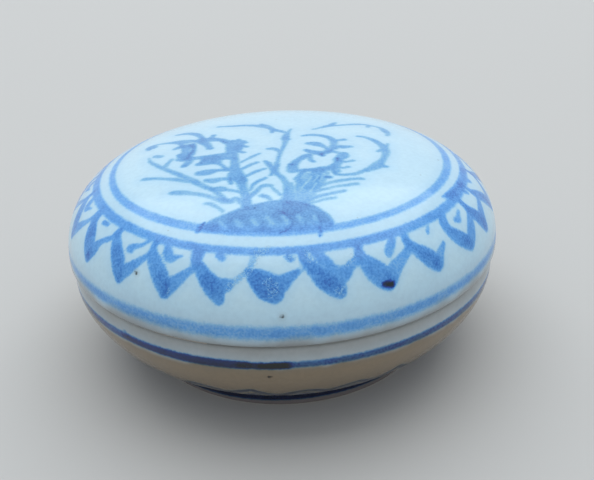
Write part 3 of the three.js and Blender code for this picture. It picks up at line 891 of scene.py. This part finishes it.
for turn, shape, drop, load in pendants:
    place = lid_brush.around(math.radians(turn))
    down, back = PENDANT_SHAPES[shape]
    pool = [(across, along, 0.75 * half_width) for across, along, half_width in down[-4:]]
    lid_brush.brush(down, place, load, spread=0.2)
    lid_brush.brush(back, place, BACK_SHARE * load, spread=0.15)
    lid_brush.brush(pool, place, POOL_SHARE * load, softness=1.8)
    lid_brush.brush(DROPS[drop], place, DROP_SHARE * load)
# The broken pendant's way back to the line is only a trace of cobalt, all blisters.
BROKEN_TRACE = [(1.2, 39.4, 0.7), (2.2, 38.7, 0.6), (3.2, 37.8, 0.55), (4.0, 36.8, 0.6), (4.3, 35.2, 0.6)]
lid_brush.brush(BROKEN_TRACE, lid_brush.around(math.radians(-104.6)), load=0.34)

# The broad line above the lid's edge was laid thin and has spread in the glaze.
EDGE_LINE = 46.2
lid_brush.ring(EDGE_LINE, half_width=1.12, load=0.51, softness=2.4, wander=0.08, seed=4.0)
# A blot where a pendant's point was retouched, two grains of iron from the clay, and a pinhole.
retouched = lid_brush.around(math.radians(-66.9))
lid_brush.brush([(-0.6, 41.2, 0.6), (0.5, 41.5, 0.62)], retouched, load=1.55, softness=1.3)
lid_brush.iron_spot([(0.0, 40.0, 0.05), (0.3, 40.2, 0.05)], lid_brush.around(math.radians(-126.4)))
lid_brush.iron_spot([(-0.1, 43.6, 0.06), (0.15, 43.6, 0.06)], lid_brush.around(math.radians(-91.0)))
lid_brush.dimple(math.radians(-91.2), 43.95, radius=0.6, depth=0.28)
# The glaze has blistered over the cobalt here and there at the front: (turn in degrees, patch).
BLISTERS = [
    (-93.0, [(-0.6, 38.9, 0.7), (0.0, 39.6, 0.9), (0.3, 40.6, 0.7)]),
    (-101.0, [(-0.8, 39.6, 0.5), (0.9, 38.0, 0.6), (2.2, 36.2, 0.7), (2.6, 34.6, 0.7), (3.8, 33.6, 0.5)]),
    (-84.0, [(-0.4, 34.6, 0.4), (0.2, 35.6, 0.5)]),
    (-79.0, [(0.5, 41.0, 0.5), (1.0, 40.6, 0.4)]),
    (-74.0, [(-0.9, 37.2, 0.4), (0.6, 36.2, 0.4)]),
    (-117.0, [(0.0, 41.4, 0.4), (0.2, 42.2, 0.3)]),
    (-88.0, [(-0.6, 35.0, 0.4), (0.4, 35.6, 0.4)])]
for turn, points in BLISTERS:
    lid_brush.blister(points, lid_brush.around(math.radians(turn)))
lid_brush.store()
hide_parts("lid")
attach(lid, "lid")

# ---------------------------------------------------------------------------------------------
# The bowl: thrown in one piece with its foot ring, swollen a little below the shoulder, with an
# upright flange that the lid drops over. Glazed inside and out; the foot that it was fired on and
# the seat and flange that meet the lid are wiped bare.
# ---------------------------------------------------------------------------------------------
base_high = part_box("base")[1] / MM
SWELL = 0.4
SWELL_DROP = 2.8
SWELL_RADIUS = base_high.x
SHOULDER_RADIUS = SWELL_RADIUS - SWELL
SHOULDER_ROUND = 0.7
FLANGE_HEIGHT = 3.4
FLANGE_GAP = 0.6
FLANGE_WALL = 2.2
FLANGE_ROUND = 0.7
FLANGE_TOP_Z = base_high.z
FLANGE_RADIUS = LID_MOUTH_RADIUS - FLANGE_GAP
FLANGE_INNER_RADIUS = FLANGE_RADIUS - FLANGE_WALL
SEAT_Z = FLANGE_TOP_Z - FLANGE_HEIGHT
SWELL_Z = SEAT_Z - SWELL_DROP
MOUTH_DROP = 3.0
MOUTH_Z = SEAT_Z - MOUTH_DROP
BOWL_FLOOR = 3.0
FOOT_TOP_RADIUS = 28.9
FOOT_TOP_Z = 2.7
FOOT_TAPER = 0.3
FOOT_WIDTH = 3.0
FOOT_ROUND = 0.5
FOOT_RADIUS = FOOT_TOP_RADIUS - FOOT_TAPER
FOOT_INNER_RADIUS = FOOT_RADIUS - FOOT_WIDTH
FOOT_RECESS_Z = 2.0
BOWL_FLOOR_Z = FOOT_RECESS_Z + BOWL_FLOOR
BELLY_CURVE = (2.0, 1.75)
BOWL_CURVE = (4.0, 3.0)
STANDING_Z = 0.12
WIPED_BELOW_SEAT = 0.2
GLAZE_OVER_LIP = 0.3

# The bowl's glaze stops by height are mostly painted light: the dark foot and the tan lower belly are painted
# shade with a painted brown reflection, the pale band over the swell is a painted highlight, and the greyer
# top by the seat is painted shade under the lid's edge.
BASE_GLAZE = glazed_porcelain(
    "base_glaze",
    [(0.0, (0.23, 0.195, 0.19)), (FOOT_TOP_Z, (0.22, 0.185, 0.175)), (FOOT_TOP_Z + 3, (0.24, 0.185, 0.125)),
     (SWELL_Z - 1.2, (0.27, 0.21, 0.14)), (SWELL_Z + 0.6, (0.48, 0.53, 0.55)), (SEAT_Z, (0.38, 0.40, 0.40))],
    roughness=(0.12, 0.24),
    is_painted=True)

# The profile of the bowl, from the middle of the recess in the foot, under the foot ring, up the
# belly and the swollen rim, over the flange and down to the middle of the floor. Each stretch is
# (points, mm between rings).
belly_depth = SWELL_Z - FOOT_TOP_Z
whole_belly = belly_depth / (1 - (FOOT_TOP_RADIUS / SWELL_RADIUS) ** BELLY_CURVE[0]) ** (1 / BELLY_CURVE[1])
belly = quarter_curve(SWELL_RADIUS, SWELL_Z, -whole_belly, BELLY_CURVE, end_z=FOOT_TOP_Z)[::-1]
swell_top = np.array([SHOULDER_RADIUS, SEAT_Z - SHOULDER_ROUND])
swell_middle = np.array([SWELL_RADIUS, (SWELL_Z + swell_top[1]) / 2])
share = np.linspace(0, 1, 24)[:, None]
swelling = (1 - share) ** 2 * belly[-1] + 2 * share * (1 - share) * swell_middle + share ** 2 * swell_top
shoulder = corner_arc(SHOULDER_RADIUS - SHOULDER_ROUND, SEAT_Z - SHOULDER_ROUND, SHOULDER_ROUND, 0, 1)
foot_inner_edge = corner_arc(FOOT_INNER_RADIUS + FOOT_ROUND, FOOT_ROUND, FOOT_ROUND, 2, 3)
foot_outer_edge = corner_arc(FOOT_RADIUS - FOOT_ROUND, FOOT_ROUND, FOOT_ROUND, -1, 0)
flange_round_z = FLANGE_TOP_Z - FLANGE_ROUND
flange_outer_edge = corner_arc(FLANGE_RADIUS - FLANGE_ROUND, flange_round_z, FLANGE_ROUND, 0, 1)
flange_inner_edge = corner_arc(FLANGE_INNER_RADIUS + FLANGE_ROUND, flange_round_z, FLANGE_ROUND, 1, 2)
bowl = quarter_curve(FLANGE_INNER_RADIUS, MOUTH_Z, BOWL_FLOOR_Z - MOUTH_Z, BOWL_CURVE)
base_stretches = [
    ([(0, FOOT_RECESS_Z), (FOOT_INNER_RADIUS, FOOT_RECESS_Z)], 1.5),
    ([(FOOT_INNER_RADIUS, FOOT_RECESS_Z), foot_inner_edge[0]], 0.5),
    (foot_inner_edge, 0.2),
    ([foot_inner_edge[-1], foot_outer_edge[0]], 0.5),
    (foot_outer_edge, 0.2),
    ([foot_outer_edge[-1], belly[0]], 0.3),
    (belly, 0.26),
    (swelling, 0.26),
    (shoulder, 0.2)]
base_outside = np.vstack(
    [base_stretches[0][0]] + [np.asarray(points)[1:] for points, _ in base_stretches[1:]])
base_outside_arc = float(np.hypot(*np.diff(base_outside, axis=0).T).sum())


def base_finish(r, z, arc):
    """Bare where it stood in the kiln and where the lid meets it, and plain inside and under it."""
    stands_on = z < STANDING_Z and r > FOOT_INNER_RADIUS
    meets_lid = z > SEAT_Z - WIPED_BELOW_SEAT and r > FLANGE_INNER_RADIUS + GLAZE_OVER_LIP
    if stands_on or meets_lid:
        return BARE
    inside_foot = arc < FOOT_INNER_RADIUS + FOOT_RECESS_Z
    inside_bowl = arc > base_outside_arc
    return LINING if inside_foot or inside_bowl else PAINTED


base_outline = outline_object(
    "base_outline",
    base_stretches + [
        ([shoulder[-1], (FLANGE_RADIUS, SEAT_Z)], 0.7),
        ([(FLANGE_RADIUS, SEAT_Z), flange_outer_edge[0]], 0.7),
        (flange_outer_edge, 0.2),
        ([flange_outer_edge[-1], flange_inner_edge[0]], 0.4),
        (flange_inner_edge, 0.2),
        ([flange_inner_edge[-1], (FLANGE_INNER_RADIUS, MOUTH_Z)], 0.8),
        (bowl, 1.6)],
    finish=base_finish,
    outside_end=shoulder[-1])
base = throw("porcelain_base", base_outline, columns=400, out_of_true=0.14, seed=8.0, painted=BASE_GLAZE)

# Its painting: a heavy cobalt line under the shoulder, darkest where the brush was freshly loaded a
# little to the left of the front, and a border of pointed petals that rise from the foot.
base_brush = Brushwork(base, base_outside)
LINE_Z = 16.75
base_brush.ring(base_brush.arc_at(LINE_Z), half_width=0.72, load=0.96, wander=0.06, seed=5.2)
# (from, to, half width, load) of its dark stretches, the first two in degrees round the axis.
LINE_DARK = [(-131, -99, 0.84, 1.18), (-101, -90.2, 0.76, 1.32), (-96.5, -90.8, 0.6, 1.62)]
for start, end, half_width, load in LINE_DARK:
    reach = math.radians(end - start) / 2 * SWELL_RADIUS
    dark = [(-reach, LINE_Z, 0.7 * half_width), (0, LINE_Z - 0.05, half_width), (reach, LINE_Z, half_width)]
    base_brush.brush(dark, base_brush.at_height(math.radians((start + end) / 2)), load)
# A flick above the line, where the brush touched down.
TOUCH_DOWN = [(-0.6, LINE_Z + 1.1, 0.2), (0.5, LINE_Z + 0.4, 0.4)]
base_brush.brush(TOUCH_DOWN, base_brush.at_height(math.radians(-130)), load=1.1)

# Each petal is an outline that meets in a point, and a solid heart. The line round the foot holds
# them together. Petals and foot line are loaded far heavier than the lid's border, so they come out
# near black: cobalt darkened with painted shade of the belly's underside. The broad foot line is
# partly a painted shadow in the crease where the belly meets the foot.
PETALS = 27
PETAL_EDGE = [(3.1, 3.0, 0.6), (3.6, 5.2, 0.85), (3.5, 7.2, 1.0), (1.9, 8.6, 0.8)]
FOOT_LINE_Z = 2.5
base_brush.ring(base_brush.arc_at(FOOT_LINE_Z), half_width=1.35, load=1.28, wander=0.1, seed=1.1)
for number in range(PETALS):
    wall = base_brush.at_height(math.radians(-87 + number * 360 / PETALS + hand.uniform(-1.2, 1.2)))
    tip = (hand.uniform(-0.9, 0.9), hand.uniform(9.2, 10.6), 0.5)
    other_edge = [(-across, height, half_width) for across, height, half_width in PETAL_EDGE]
    heart = [(0.0, 3.6, 1.6), (0.0, 5.4, 2.1), (0.4 * tip[0], 7.2, 1.3)]
    base_brush.brush(other_edge + [tip], wall, load=1.30)
    base_brush.brush(PETAL_EDGE + [tip], wall, load=1.18)
    base_brush.brush(heart, wall, load=1.1)
# A brown grain of iron that has run a little in the glaze.
base_brush.iron_spot([(0.0, 14.4, 0.1), (0.3, 14.5, 0.1)], base_brush.at_height(math.radians(-94.5)))
base_brush.store()
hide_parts("base")
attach(base, "base")

# ---------------------------------------------------------------------------------------------
# The studio: a pale paper floor under a big soft light, in air that is brighter overhead and
# towards the back, and the camera.
# ---------------------------------------------------------------------------------------------
FLOOR_HALF = 2.0
floor_mesh = bpy.data.meshes.new("studio_floor")
corners = [(x * FLOOR_HALF, y * FLOOR_HALF, 0) for x, y in ((-1, -1), (1, -1), (1, 1), (-1, 1))]
floor_mesh.from_pydata(corners, [], [(0, 1, 2, 3)])
floor = bpy.data.objects.new("studio_floor", floor_mesh)
bpy.context.scene.collection.objects.link(floor)
paper = bpy.data.materials.new("studio_paper")
paper.use_nodes = True
paper_shader = paper.node_tree.nodes["Principled BSDF"]
paper_shader.inputs["Base Color"].default_value = (0.58, 0.57, 0.55, 1)
paper_shader.inputs["Roughness"].default_value = 0.8
floor_mesh.materials.append(paper)

world = bpy.data.worlds.new("studio_air")
bpy.context.scene.world = world
world.use_nodes = True
w = Wiring(world.node_tree)
towards = w.add("ShaderNodeSeparateXYZ", {0: w.add("ShaderNodeTexCoord").outputs["Generated"]})
overhead = w.blend(w.smooth(towards.outputs[2], 0.0, 0.9), (0.42, 0.43, 0.44), (0.60, 0.64, 0.68))
sky = w.blend(w.smooth(towards.outputs[1], 0.1, 0.9), overhead, (0.70, 0.75, 0.80))
w.feed(world.node_tree.nodes["Background"].inputs["Color"], sky)

key = bpy.data.lights.new("overhead_softbox", "AREA")
key.shape = "RECTANGLE"
key.size = 2.4
key.size_y = 2.0
key.energy = 19.0
key.color = (0.93, 0.97, 1.0)
key_light = bpy.data.objects.new("overhead_softbox", key)
key_light.location = (0.0, 0.5, 1.5)
towards_box = Vector((0, 0, 0)) - key_light.location
key_light.rotation_euler = towards_box.to_track_quat("-Z", "Y").to_euler()
bpy.context.scene.collection.objects.link(key_light)
bpy.context.scene.view_settings.view_transform = "Standard"

# The camera looks down on the crown from the front, held a little off level.
eye = Vector((0, -122.479, 80.275)) * MM
looks_at = Vector((2.662, 0, 17.047)) * MM
TILT = math.radians(-1.98)
forward = (looks_at - eye).normalized()
right = forward.cross(Vector((0, 0, 1))).normalized()
up = right.cross(forward)
camera_right = right * math.cos(TILT) + up * math.sin(TILT)
camera_up = up * math.cos(TILT) - right * math.sin(TILT)
turned = Matrix((camera_right, camera_up, -forward)).transposed().to_4x4()
turned.translation = eye
lens = bpy.data.cameras.new("camera")
lens.sensor_width = 36.0
lens.lens = 42.42
lens.clip_start = 0.005
camera = bpy.data.objects.new("camera", lens)
camera.matrix_world = turned
bpy.context.scene.collection.objects.link(camera)
bpy.context.scene.camera = camera
